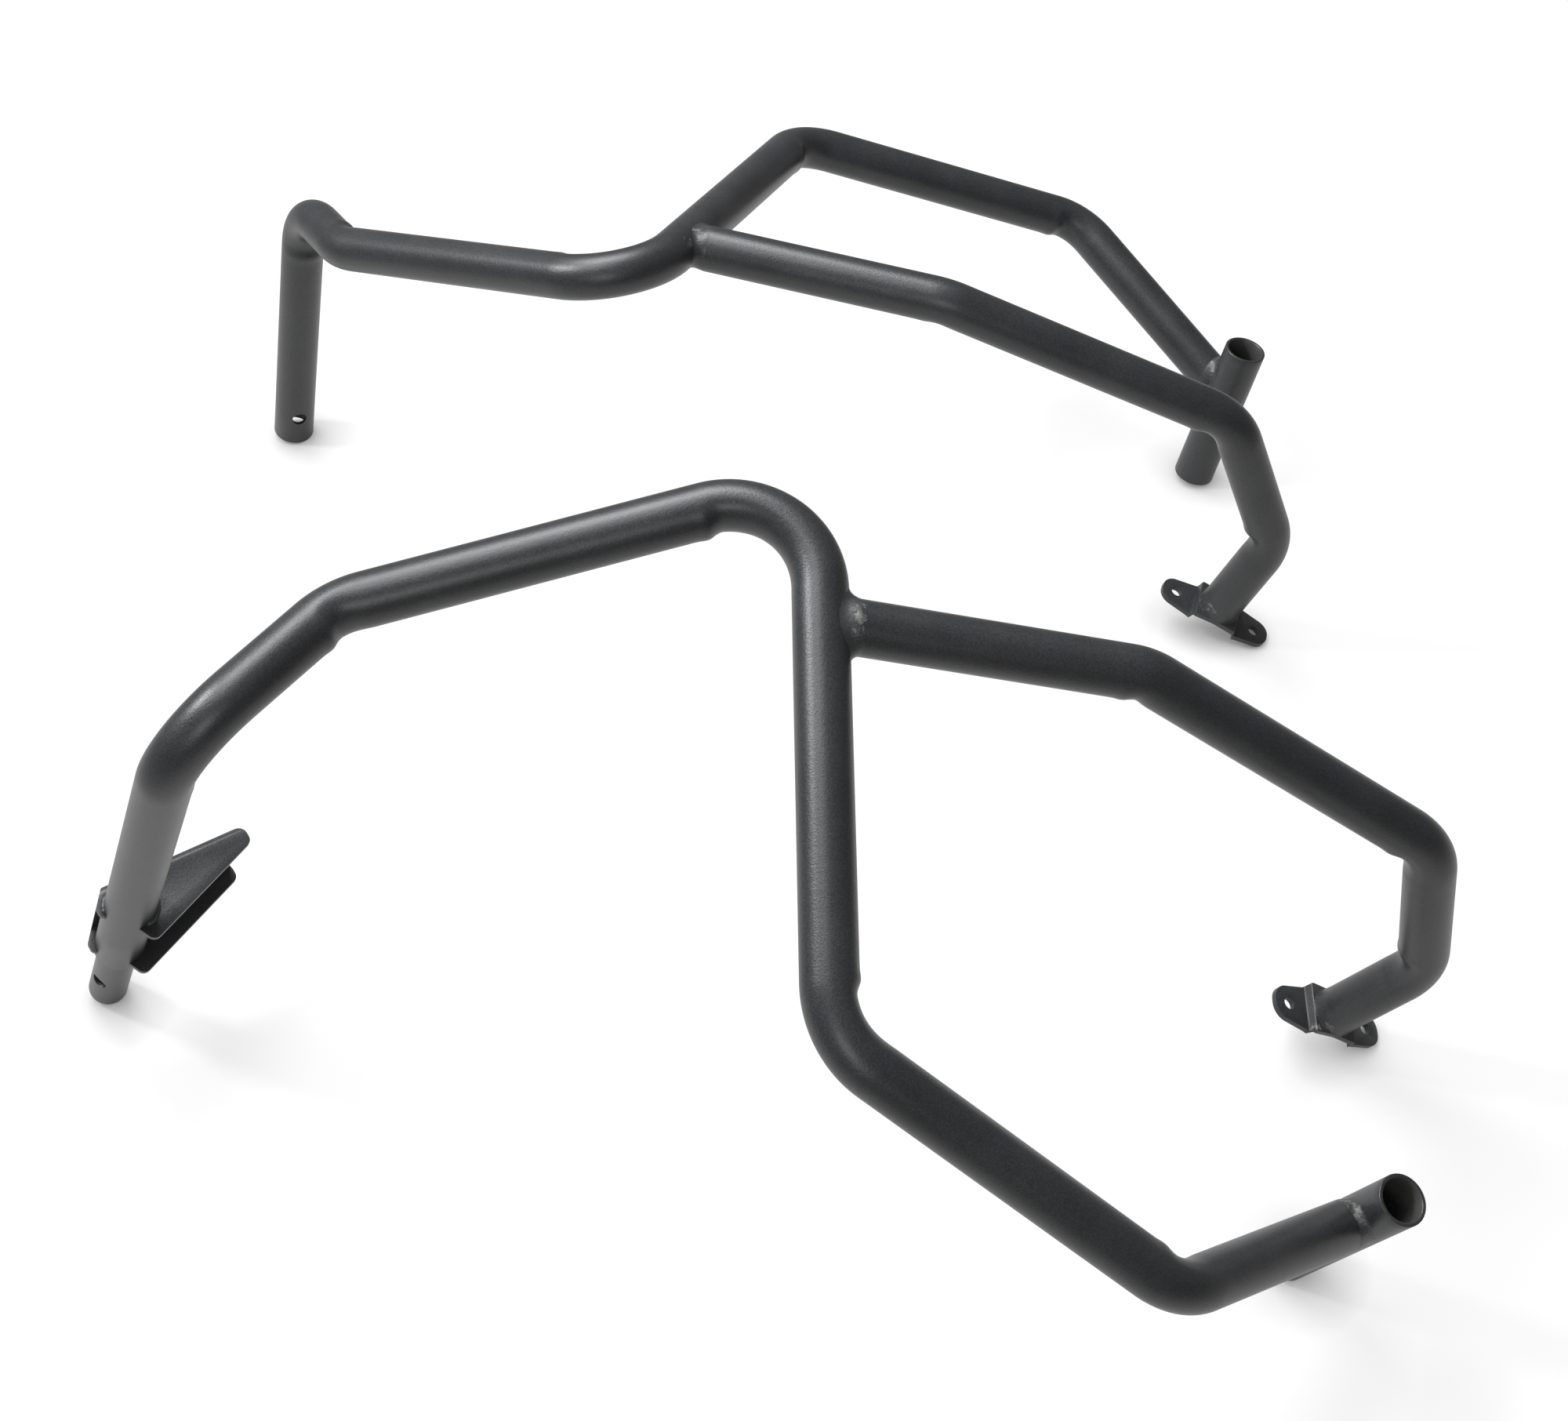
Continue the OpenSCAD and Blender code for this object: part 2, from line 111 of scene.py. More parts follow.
def plateFrame(legs):
    return branchCorner(legs) @ frameAfter(branchLegs, 3) @ rollBy(plateShape["turn"])


def sleeveFrame(legs):
    return frameAfter(legs, 5) @ rollBy(sleeveShape["roll"]) @ tiltBy(sleeveShape["tilt"])


def standing(bar):
    # turns a bar so that its mounting end, its sleeve and its outer lug stand on the floor
    legs = bar["legs"]
    plate, sleeve = plateFrame(legs), sleeveFrame(legs)
    rims = [
        (Vector((0, 0, -bar["tip"])), Vector((0, 0, 1)), bar["tipRadius"], 0),
        ((sleeve @ moveBy(0, 0, sleeveShape["down"])).translation, sleeve.col[2].xyz, tube["radius"], 0),
        ((plate @ moveBy(plateShape["holes"] / 2, 0, 0)).translation, plate.col[2].xyz, plateShape["lug"],
         plateShape["thick"]),
    ]
    inner = frameAfter(legs, 3).translation

    def foot(rim, up):
        # the lowest point of a round end
        centre, axis, radius, below = rim
        return centre + radius * (axis * up.dot(axis) - up).normalized() + below * axis

    def lift(points):
        # straight up from the plane through three feet
        n = (points[1] - points[0]).cross(points[2] - points[0]).normalized()
        return -n if n.dot(inner - points[0]) < 0 else n

    up = lift([r[0] for r in rims])
    for _ in range(12):
        up = lift([foot(r, up) for r in rims])
    p = foot(rims[0], up)
    x = (foot(rims[1], up) - p).normalized()
    y = up.cross(x)
    turned = Matrix(((x[0], x[1], x[2], -x.dot(p)), (y[0], y[1], y[2], -y.dot(p)),
                     (up[0], up[1], up[2], -up.dot(p)), (0, 0, 0, 1)))
    flip = Matrix.Diagonal((1, bar["flip"], 1, 1))
    return moveBy(bar["place"][0], bar["place"][1], 0) @ rollBy(bar["turn"]) @ flip @ turned


# the angle between faces above which an edge is drawn sharp
sharpFrom = {"swept": 50, "drilled": 40, "bevelled": 32}


def shadeSmooth(mesh, sharp):
    for face in mesh.polygons:
        face.use_smooth = True
    mesh.set_sharp_from_angle(angle=math.radians(sharp))


def newPiece(name, verts, faces, place, material):
    # points in the bar's own frame in mm become a placed object in metres
    mesh = bpy.data.meshes.new(name)
    mesh.from_pydata([place @ Vector(v) * mm for v in verts], [], faces)
    bm = bmesh.new()
    bm.from_mesh(mesh)
    bmesh.ops.recalc_face_normals(bm, faces=bm.faces)
    bm.to_mesh(mesh)
    bm.free()
    shadeSmooth(mesh, sharpFrom["swept"])
    piece = bpy.data.objects.new(name, mesh)
    bpy.context.scene.collection.objects.link(piece)
    mesh.materials.append(material)
    return piece


def skin(rings, closeStart=False, closeEnd=False, loop=False):
    # quads between rings of equal count
    verts = [v for ring in rings for v in ring]
    count = len(rings[0])
    faces = []
    for i in range(len(rings) if loop else len(rings) - 1):
        a, b = i * count, ((i + 1) % len(rings)) * count
        for j in range(count):
            k = (j + 1) % count
            faces.append((a + j, a + k, b + k, b + j))
    if closeStart:
        faces.append(tuple(range(count)))
    if closeEnd:
        faces.append(tuple(range((len(rings) - 1) * count, len(rings) * count)))
    return verts, faces


def turnedRings(profile, base, around, waves=0, waveDepth=0.0):
    # rings of a turned shape: the profile gives radius and height, the waves a slightly uneven skin
    rings = []
    for r, z in profile:
        ring = []
        for j in range(around):
            t = 2 * math.pi * j / around
            uneven = r * (1 + waveDepth * math.sin(waves * t))
            ring.append(base @ Vector((uneven * math.cos(t), uneven * math.sin(t), z)))
        rings.append(ring)
    return rings


def applied(piece):
    # the mesh that the modifiers give, kept as the piece's own
    graph = bpy.context.evaluated_depsgraph_get()
    mesh = bpy.data.meshes.new_from_object(piece.evaluated_get(graph))
    old = piece.data
    piece.modifiers.clear()
    piece.data = mesh
    bpy.data.meshes.remove(old)
    return piece


def combine(piece, other, how):
    change = piece.modifiers.new("combine", "BOOLEAN")
    change.operation = how
    change.solver = "EXACT"
    change.object = other
    applied(piece)
    bpy.data.objects.remove(other)
    return piece


def softenEdges(piece, width, angle=35, segments=3):
    change = piece.modifiers.new("edge", "BEVEL")
    change.width = width * mm
    change.segments = segments
    change.limit_method = "ANGLE"
    change.angle_limit = math.radians(angle)
    applied(piece)
    shadeSmooth(piece.data, sharpFrom["bevelled"])
    return piece


# how far in mm a cutting shape stands out beyond the piece that it cuts
past = 2.0


def rod(matrix, radius, length, place, material):
    # a round drill
    rings = turnedRings([(radius, -length / 2), (radius, length / 2)], matrix, 48)
    verts, faces = skin(rings, True, True)
    return newPiece("drill", verts, faces, place, material)


def prism(name, outline, low, high, matrix, place, material):
    rings = [[matrix @ Vector((x, y, z)) for x, y in outline] for z in (low, high)]
    verts, faces = skin(rings, True, True)
    return newPiece(name, verts, faces, place, material)


def roundedOutline(corners, steps=8):
    # corners are x, y and radius; no corner may lie in line with its neighbours
    points = []
    count = len(corners)
    for k in range(count):
        a, b, c = (Vector(corners[(k + i) % count][:2]) for i in (-1, 0, 1))
        r = corners[k][2]
        if r == 0:
            points.append(tuple(b))
            continue
        u, v = (a - b).normalized(), (c - b).normalized()
        half = math.acos(max(-1.0, min(1.0, u.dot(v)))) / 2
        mid = b + (u + v).normalized() * (r / math.sin(half))
        start = b + u * (r / math.tan(half)) - mid
        first = math.atan2(start.y, start.x)
        sweep = (math.pi - 2 * half) * (-1 if u.x * v.y - u.y * v.x > 0 else 1)
        points += [(mid.x + r * math.cos(first + sweep * i / steps), mid.y + r * math.sin(first + sweep * i / steps))
                   for i in range(steps + 1)]
    return points


def addNode(tree, kind, **sockets):
    # lower case names are the node's own settings, the others its input sockets
    node = tree.nodes.new(kind)
    for key, value in sockets.items():
        if hasattr(node, key) and not key[0].isupper():
            setattr(node, key, value)
        else:
            node.inputs[key.replace("_", " ")].default_value = value
    return node


def feed(tree, socket, source):
    # a socket takes another node's output or a fixed value
    if isinstance(source, bpy.types.NodeSocket):
        tree.links.new(source, socket)
    else:
        socket.default_value = source


def maths(tree, operation, first, second):
    node = addNode(tree, "ShaderNodeMath", operation=operation)
    feed(tree, node.inputs[0], first)
    feed(tree, node.inputs[1], second)
    return node.outputs["Value"]


def mixColours(tree, factor, first, second, blend="MIX"):
    # 6 and 7 are the colour sockets of a Mix node, 2 its colour output
    node = addNode(tree, "ShaderNodeMix", data_type="RGBA", blend_type=blend)
    feed(tree, node.inputs["Factor"], factor)
    feed(tree, node.inputs[6], first)
    feed(tree, node.inputs[7], second)
    return node.outputs[2]


def ramp(tree, source, low, lowColour, high, highColour):
    node = tree.nodes.new("ShaderNodeValToRGB")
    for element, position, colour in zip(node.color_ramp.elements, (low, high), (lowColour, highColour)):
        element.position, element.color = position, colour
    tree.links.new(source, node.inputs["Fac"])
    return node.outputs["Color"]


def grey(level):
    return (level, level, level, 1)


# cloudy patterns: mm across, detail, roughness
patterns = {"cloud": (26.316, 3.0, 0.55), "speck": (0.8696, 2.0, 0.6), "peel": (3.125, 2.0, 0.5),
            "blot": (3.3333, 4.0, 0.6)}
# how the patterns show: ramp ends, tones of the specks, softness of a worn edge, depth of grain and peel in mm
# inside is the lighter colour of bore walls, painted light standing in for light reaching into a bore
coatLook = {"cloud": (0.3, 0.7), "speck": (0.35, 0.68), "speckTones": (0.72, 1.25), "wornEdge": 0.12,
            "grainDepth": 0.18, "peelDepth": 0.25, "peel": 0.16, "inside": "#3b3b3a", "ior": 1.5}
coats = {
    # satin black polyester powder coat, baked on drawn steel tube, dull grey where it is thin
    "satinPowderCoatOnTube": {"dark": "#27282a", "light": "#303133", "worn": "#585957", "wornShare": 0.5,
                              "rough": (0.33, 0.45), "grain": 0.55},
    # the same coat on folded sheet steel, a little lighter and duller
    "satinPowderCoatOnSheet": {"dark": "#2a2b2d", "light": "#343537", "worn": "#7b7a76", "wornShare": 0.54,
                               "rough": (0.36, 0.5), "grain": 0.55},
    # the same coat over weld metal, where it lies thinnest
    "thinPowderCoatOnWeld": {"dark": "#2b2c2e", "light": "#38393b", "worn": "#646461", "wornShare": 0.54,
                             "rough": (0.36, 0.5), "grain": 0.6},
}


def powderCoat(name):
    # near black with a broad soft highlight, a fine dry grain just under a millimetre and a faint orange peel;
    # thin coat shows in blotches where "scuff" is high, and bore walls, where "inside" is high, get a lighter painted
    # light
    look = coats[name]
    material = bpy.data.materials.new(name)
    material.use_nodes = True
    tree = material.node_tree
    shader = tree.nodes["Principled BSDF"]
    place = addNode(tree, "ShaderNodeTexCoord").outputs["Object"]

    def pattern(key):
        across, detail, roughness = patterns[key]
        node = addNode(tree, "ShaderNodeTexNoise", Scale=1 / (across * mm), Detail=detail, Roughness=roughness)
        tree.links.new(place, node.inputs["Vector"])
        return node.outputs["Fac"]

    def painted(key):
        return addNode(tree, "ShaderNodeAttribute", attribute_name=key).outputs["Fac"]

    speck = pattern("speck")
    low, high = coatLook["cloud"]
    base = ramp(tree, pattern("cloud"), low, linear(look["dark"]), high, linear(look["light"]))
    low, high = coatLook["speck"]
    darker, lighter = coatLook["speckTones"]
    grainy = mixColours(tree, 1.0, base, ramp(tree, speck, low, grey(darker), high, grey(lighter)), "MULTIPLY")
    # painted light: bore walls take a lighter colour in place of the light that reaches into a bore
    paintedBoreLight = mixColours(tree, painted("inside"), grainy, linear(coatLook["inside"]))
    worn = maths(tree, "MULTIPLY", painted("scuff"), pattern("blot"))
    wornFrom = 1 - look["wornShare"]
    mask = ramp(tree, worn, wornFrom, grey(0), wornFrom + coatLook["wornEdge"], grey(1))
    tree.links.new(mixColours(tree, mask, paintedBoreLight, linear(look["worn"])), shader.inputs["Base Color"])

    rough = addNode(tree, "ShaderNodeMapRange", To_Min=look["rough"][0], To_Max=look["rough"][1])
    tree.links.new(speck, rough.inputs["Value"])
    tree.links.new(rough.outputs["Result"], shader.inputs["Roughness"])
    grain = addNode(tree, "ShaderNodeBump", Strength=look["grain"], Distance=coatLook["grainDepth"] * mm)
    tree.links.new(speck, grain.inputs["Height"])
    peel = addNode(tree, "ShaderNodeBump", Strength=coatLook["peel"], Distance=coatLook["peelDepth"] * mm)
    tree.links.new(pattern("peel"), peel.inputs["Height"])
    tree.links.new(grain.outputs["Normal"], peel.inputs["Normal"])
    tree.links.new(peel.outputs["Normal"], shader.inputs["Normal"])
    shader.inputs["IOR"].default_value = coatLook["ior"]
    return material


coat = powderCoat("satinPowderCoatOnTube")
sheetCoat = powderCoat("satinPowderCoatOnSheet")
beadCoat = powderCoat("thinPowderCoatOnWeld")
print("materials ready")

# spots where the coat is thin: point in mm in the scene, radius in mm, strength
scuffs = {
    "near": [((69.3, -172.1, 319.6), 5.0, 1.0), ((69.2, -166.3, 320.3), 4.0, 1.0), ((68.6, -176.4, 317.2), 4.0, 0.95),
             ((319.4, -286.1, 83.7), 6.0, 0.95), ((315.7, -282.7, 82.4), 4.5, 0.95), ((321.1, -290.5, 84.0), 4.5, 0.95),
             ((303.0, -298.2, 95.0), 6.0, 0.85), ((305.9, -291.7, 89.9), 6.0, 0.85),
             ((309.7, -152.4, 30.7), 5.0, 1.0), ((315.0, -151.8, 28.1), 6.0, 1.0), ((307.3, -144.0, 30.6), 4.0, 0.95),
             ((306.9, -135.6, 32.4), 4.0, 0.9)],
    "far": [((-65.6, 144.4, 257.4), 5.0, 1.0), ((-63.0, 155.8, 255.8), 5.5, 1.0), ((-65.5, 139.0, 256.8), 4.0, 0.95),
            ((-59.8, 152.3, 255.7), 4.0, 0.95), ((231.6, 292.6, 85.2), 4.5, 0.95), ((234.8, 297.8, 85.6), 4.5, 0.9),
            ((234.9, 288.7, 83.9), 4.5, 0.95), ((242.7, 140.1, 26.9), 4.5, 0.9), ((245.9, 137.6, 28.0), 5.5, 0.95),
            ((239.0, 146.1, 24.8), 4.0, 0.85)],
}
scuffEdge = (0.5, 1.35)


def paintScuff(piece, spots):
    layer = piece.data.attributes.new("scuff", "FLOAT", "POINT")
    for i, v in enumerate(piece.data.vertices):
        level = 0.0
        for point, radius, strength in spots:
            away = (v.co / mm - Vector(point)).length / radius
            level = max(level, strength * (1 - smooth(*scuffEdge, away)))
        layer.data[i].value = level
    return piece


def paintInside(piece, axis):
    # marks the wall of a bore, where the coat gets a lighter colour as painted light
    layer = piece.data.attributes.new("inside", "FLOAT", "POINT")
    back = axis.inverted()
    for i, v in enumerate(piece.data.vertices):
        at = back @ (v.co / mm)
        within = math.hypot(at.x, at.y) < tube["bore"] + 0.1 and abs(at.z) < tube["boreDepth"] + 1
        layer.data[i].value = 1.0 if within else 0.0
    return piece


def keep(piece, node, spots=()):
    paintScuff(piece, spots)
    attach(piece, "root")
    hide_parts(node)


# the inner side of a bend: a small hump, then flatter metal that fades out before the bend ends
squeeze = {"depth": 2.3, "fullFrom": 40.0, "from": -1.0, "rise": 8.0, "fadeFrom": 0.3, "fadeTo": 1.05,
           "hump": 0.45, "humpBefore": 2.0, "humpWide": 2.6, "narrow": 1.4}
pastBends = (999.0, 1.0, 0.0)


def squeezeAt(along, length, bend, around):
    # how far the skin moves out, or in when negative
    share = smooth(0, squeeze["fullFrom"], bend)
    fade = 1 - smooth(squeeze["fadeFrom"] * length, squeeze["fadeTo"] * length, along)
    depth = smooth(squeeze["from"], squeeze["rise"], along) * fade
    hump = math.exp(-((along + squeeze["humpBefore"]) / squeeze["humpWide"]) ** 2)
    side = max(0.0, math.cos(around)) ** squeeze["narrow"]
    return side * (squeeze["hump"] * hump - squeeze["depth"] * share * depth)


def tubeStations(lead, legs, tail):
    # frames along the tube, each with the roll so far and its place in the bend: mm past its start, length, degrees
    fine, step, after, wide = tube["fineBefore"], tube["fineStep"], tube["fineAfter"], tube["wideSteps"]
    stations = []
    rolled = 0.0
    position = Matrix.Identity(4)
    start = -lead
    for roll, bend, run in legs:
        rolled += roll
        base = position @ rollBy(roll)
        back = setback(bend)
        end = -back
        arc = math.radians(bend) * tube["bendRadius"]
        heights = [start + (end - fine - start) * i / wide for i in range(wide)] if end - fine > start else [start]
        heights += [end - fine + i for i in range(int(fine))]
        stations += [(base @ moveBy(0, 0, z), rolled, (z - end, arc, bend)) for z in heights]
        turns = max(tube["fewestTurns"], int(bend / tube["turnStep"]))
        for i in range(turns + 1):
            turn = tiltBy(bend * i / turns)
            centre = moveBy(tube["bendRadius"], 0, end) @ turn @ moveBy(-tube["bendRadius"], 0, 0)
            stations.append((base @ centre, rolled, (arc * i / turns, arc, bend)))
        bent = base @ tiltBy(bend)
        for i in range(1, after + 1):
            stations.append((bent @ moveBy(0, 0, back + i * step), rolled, (arc + i * step, arc, bend)))
        position = bent @ moveBy(0, 0, run)
        start = -(run - back - (after + 1) * step)
    stations.append((position @ moveBy(0, 0, tail), rolled, pastBends))
    return stations


def ringAt(station, radius, shape=True):
    matrix, rolled, (along, length, bend) = station
    ring = []
    for j in range(tube["around"]):
        around = 2 * math.pi * j / tube["around"] - math.radians(rolled)
        r = radius
        if shape and bend:
            r += squeezeAt(along, length, bend, around)
        ring.append(matrix @ Vector((r * math.cos(around), r * math.sin(around), 0)))
    return ring


def mouth(station):
    # rounded rim of the open end and the first part of its bore
    matrix, rolled, _ = station
    radius, bore, depth = tube["radius"], tube["bore"], tube["boreDepth"]
    rim, out, within = tube["rim"], tube["rim"] * tube["rimOut"], tube["rim"] * tube["rimIn"]
    profile = ((radius - out, out), (radius - rim, 0), (bore + within, 0), (bore, within), (bore, depth * 0.5),
               (bore, depth))
    return [ringAt((matrix @ moveBy(0, 0, z), rolled, pastBends), r, False) for r, z in profile]


def filletCover(angle, values):
    # distance from the other tube's axis at which a tube's end is hidden by its fillet all round
    a = math.radians(angle)
    return tube["radius"] * (1 - abs(math.cos(a))) / math.sin(a) + values["wide"] - filletShape["cover"]


def mainTube(side, bar, place):
    stations = tubeStations(bar["lead"], bar["legs"], -filletCover(180 - sleeveShape["tilt"], sleeveFillet))
    first, last = stations[0], stations[-1]
    rings = list(reversed(mouth(first)))
    rings += [ringAt((first[0] @ moveBy(0, 0, tube["rim"]), first[1], first[2]), tube["radius"])]
    rings += [ringAt(s, tube["radius"]) for s in stations[1:-1]]
    rings.append(ringAt(last, tube["radius"], False))
    verts, faces = skin(rings, True, True)
    piece = newPiece(side + ".mainTube", verts, faces, place, coat)
    if side == "far":
        holeFrame = moveBy(0, 0, farHole["fromTip"] - bar["tip"]) @ rollBy(farHole["turn"]) @ tiltBy(90)
        combine(piece, rod(holeFrame, farHole["radius"], 4 * tube["radius"], place, coat), "DIFFERENCE")
        shadeSmooth(piece.data, sharpFrom["drilled"])
    return paintInside(piece, place @ moveBy(0, 0, -bar["lead"]))


def branchTube(side, bar, place):
    start = branchCorner(bar["legs"])
    lead = branchStart["run"] - filletCover(branchStart["tilt"], teeFillet)
    rings = []
    for matrix, rolled, bend in tubeStations(lead, branchLegs, -plateShape["step"]):
        rings.append(ringAt((start @ matrix, rolled, bend), tube["radius"]))
    verts, faces = skin(rings, True, True)
    return newPiece(side + ".branchTube", verts, faces, place, coat)


# up and down are measured from the main tube's axis
sleeveShape = {"roll": -87.0, "tilt": 72.0, "up": 35.0, "down": 65.0, "outsideSteps": 20, "boreSteps": 12}


def crossSleeve(side, bar, place):
    base = sleeveFrame(bar["legs"])
    up, down, rim = sleeveShape["up"], sleeveShape["down"], tube["rim"]
    radius, bore, out, within = tube["radius"], tube["bore"], rim * tube["rimOut"], rim * tube["rimIn"]
    long, outside, inside = up + down - 2 * rim, sleeveShape["outsideSteps"], sleeveShape["boreSteps"]
    profile = [(radius, -up + rim + long * i / outside) for i in range(outside + 1)]
    profile += [(radius - out, down - out), (radius - rim, down), (bore + within, down), (bore, down - within)]
    profile += [(bore, down - rim - long * i / inside) for i in range(1, inside)]
    profile += [(bore, -up + within), (bore + within, -up), (radius - rim, -up), (radius - out, -up + out)]
    verts, faces = skin(turnedRings(profile, base, tube["around"]), loop=True)
    return paintInside(newPiece(side + ".crossSleeve", verts, faces, place, coat), place @ base)


# the middle is pressed up by step between two folds; shoulder, neck and waist are widths across the plate
plateShape = {"turn": 170.0, "holes": 53.0, "holeRadius": 3.25, "lug": 9.0, "lugHalf": 8.1, "lugRound": 8.722,
              "middle": 27.8, "fold": 1.5, "shoulder": 27.8, "shoulderIn": 1.5, "shoulderAt": 15.9, "neck": 24.2,
              "waist": 25.6, "waistRound": 20.0, "round": 3.0, "step": 4.6, "thick": 3.0, "edge": 0.45}


def boltPlate(side, bar, place):
    p = plateShape
    base = plateFrame(bar["legs"])
    half, lug, fold, at = p["middle"] / 2, p["holes"] / 2, p["fold"], p["shoulderAt"]
    low, high, end = half + fold / 2, half - fold / 2, lug + p["lug"]
    shares = [i / 8 for i in range(9)]
    lift = [(-end - past, 0)]
    lift += [(-low + fold * t, -p["step"] * smooth(0, 1, t)) for t in shares]
    lift += [(high + fold * t, -p["step"] * (1 - smooth(0, 1, t))) for t in shares]
    lift += [(end + past, 0)]
    sideOutline = lift + [(x, z + p["thick"]) for x, z in reversed(lift)]
    neck, waist, wide, bump = p["neck"] / 2, p["waist"] / 2, p["shoulder"] / 2, half - p["shoulderIn"]
    oneSide = [(end, p["lugHalf"], p["lugRound"]), (at, neck, p["round"]), (bump, wide, p["round"]),
               (0, waist, p["waistRound"]), (-bump, wide, p["round"]), (-at, neck, p["round"]),
               (-end, p["lugHalf"], p["lugRound"])]
    shape = roundedOutline(oneSide + [(x, -y, r) for x, y, r in reversed(oneSide)], 12)
    turned = base @ Matrix.Rotation(math.radians(90), 4, "X")
    plate = prism(side + ".boltPlate", sideOutline, -p["waist"], p["waist"], turned, place, sheetCoat)
    blank = prism("blank", shape, -p["step"] - past, p["thick"] + past, base, place, sheetCoat)
    combine(plate, blank, "INTERSECT")
    for x in (-lug, lug):
        combine(plate, rod(base @ moveBy(x, 0, 0), p["holeRadius"], 20, place, sheetCoat), "DIFFERENCE")
    return softenEdges(plate, p["edge"])


# ripple is the length of one weld ripple
beadShape = {"ripple": 3.3, "rippleDepth": 0.16, "around": 14, "wide": 2.2, "high": 1.7, "lean": 0.8,
             "wobble": 0.1, "wobbleAcross": 0.09, "shift": 0.8, "thinEnd": 0.35, "thinOver": 0.12,
             "above": 0.1, "fewest": 24, "stepTurn": 1.5}


def ripple(travelled, seed):
    return abs(math.sin(math.pi * travelled / beadShape["ripple"] + seed)) - 0.5


def arcBead(name, base, first, last, height, up, size, seed, place):
    # a bead of oval section round the tube, thinner at both ends
    b = beadShape
    radius = tube["radius"] + b["above"]
    count = max(b["fewest"], int(abs(last - first) / b["stepTurn"]))
    angles = [math.radians(first + (last - first) * k / count) for k in range(count + 1)]
    points = [base @ Vector((radius * math.cos(t), radius * math.sin(t), height)) for t in angles]
    lean = b["lean"]
    rings = []
    travelled = 0.0
    for i, p in enumerate(points):
        away = Vector((math.cos(angles[i]) * lean, math.sin(angles[i]) * lean, up)).normalized()
        away = base.to_3x3() @ away
        along = (points[min(i + 1, count)] - points[max(i - 1, 0)]).normalized()
        upward = (away - along * away.dot(along)).normalized()
        across = along.cross(upward)
        if i:
            travelled += (p - points[i - 1]).length
        spread = b["wobbleAcross"]
        wobble = noise.noise(Vector((p.x * spread + seed, p.y * spread, p.z * spread)))
        share = 1 + b["wobble"] * wobble
        share *= b["thinEnd"] + (1 - b["thinEnd"]) * smooth(0, b["thinOver"], min(i, count - i) / count)
        wide = b["wide"] * size * share
        high = b["high"] * size * share + b["rippleDepth"] * ripple(travelled + b["shift"] * wobble, seed)
        rings.append([p + across * (wide * math.cos(t)) + upward * (high * math.sin(t))
                      for t in [2 * math.pi * j / b["around"] for j in range(b["around"])]])
    verts, faces = skin(rings, True, True)
    return newPiece(name, verts, faces, place, beadCoat)


# wide is how far a fillet runs up the branch, sideTurn how far round the main tube it reaches
teeFillet = {"wide": 5.0, "sideTurn": 60.0, "swell": 0.4, "ripple": 0.08, "uneven": 0.35, "seed": 1.3}
sleeveFillet = {"wide": 4.2, "sideTurn": 63.0, "swell": 0.45, "ripple": 0.1, "uneven": 0.45, "seed": 4.1}
# pull is the share of the span that the curve follows each skin, sink how far its ends lie under the skin
filletShape = {"around": 240, "across": 12, "pull": 0.42, "sink": 0.05, "inside": 1.5, "insideShare": 0.9,
               "insideBack": 1.0, "cover": 1.5, "unevenAcross": 1.7, "squarer": 0.12, "rippleLean": 1.6,
               "rippleRound": 20}


def filletWeld(name, base, angle, values, place):
    # a concave weld where a tube at that angle runs into the tube along the third axis of base:
    # each section leaves the branch level with its skin and lands level with the skin of the main tube
    f = filletShape
    r, seed, wide = tube["radius"], values["seed"], values["wide"]
    a = math.radians(angle)
    axis = Vector((math.sin(a), 0, math.cos(a)))
    side = Vector((0, 1, 0))
    top = side.cross(axis)
    sections = []
    for k in range(f["around"]):
        t = 2 * math.pi * k / f["around"]
        spot = Vector((math.cos(t) * f["unevenAcross"] + seed, math.sin(t) * f["unevenAcross"], seed))
        uneven = values["uneven"] * noise.noise(spot)
        skinOut = -top * math.cos(t) + side * math.sin(t)
        away = r * (1 + math.cos(a) * math.cos(t)) / math.sin(a) + wide + uneven
        start = axis * away + skinOut * (r - f["sink"])
        turn = math.radians(values["sideTurn"]) * math.sin(t) * (1 - f["squarer"] * math.cos(2 * t))
        height = r * math.cos(a) / math.sin(a) + math.cos(t) * (r / math.sin(a) + wide + uneven)
        landOut = Vector((math.cos(turn), math.sin(turn), 0))
        land = landOut * (r - f["sink"]) + Vector((0, 0, height))
        span = (land - start).length
        sideways = Vector((-math.sin(turn), math.cos(turn), 0)) * -math.sin(t)
        tangent = (sideways * abs(math.sin(t)) + Vector((0, 0, -math.cos(t))) * abs(math.cos(t))).normalized()
        leave, arrive = start - axis * span * f["pull"], land + tangent * span * f["pull"]
        outward = (skinOut + landOut).normalized()
        section = []
        for i in range(f["across"] + 1):
            u = i / f["across"]
            p = start * (1 - u) ** 3 + leave * 3 * u * (1 - u) ** 2 + arrive * 3 * u * u * (1 - u) + land * u ** 3
            bulge = math.sin(math.pi * u)
            wave = ripple(t * f["rippleRound"] + f["rippleLean"] * bulge, seed)
            section.append(p + outward * bulge * (values["swell"] + values["ripple"] * wave))
        section.append(landOut * (r - f["inside"]) + Vector((0, 0, height * f["insideShare"])))
        section.append(axis * (away - f["insideBack"]) + skinOut * (r - f["inside"]))
        sections.append([base @ p for p in section])
    verts, faces = skin(sections, loop=True)
    return newPiece(name, verts, faces, place, beadCoat)


# up is how far the weld climbs the branch, out how far from its axis it lands, thin its size at the ends
plateFillet = {"up": 9.5, "out": 13.3, "least": 0.6, "thin": 0.7, "thinOver": 0.3, "uneven": 0.1, "swell": 0.1,
               "ripple": 0.08, "around": 90, "across": 10, "sink": 0.05, "lap": 0.3, "corner": 0.1, "inside": 1.0}


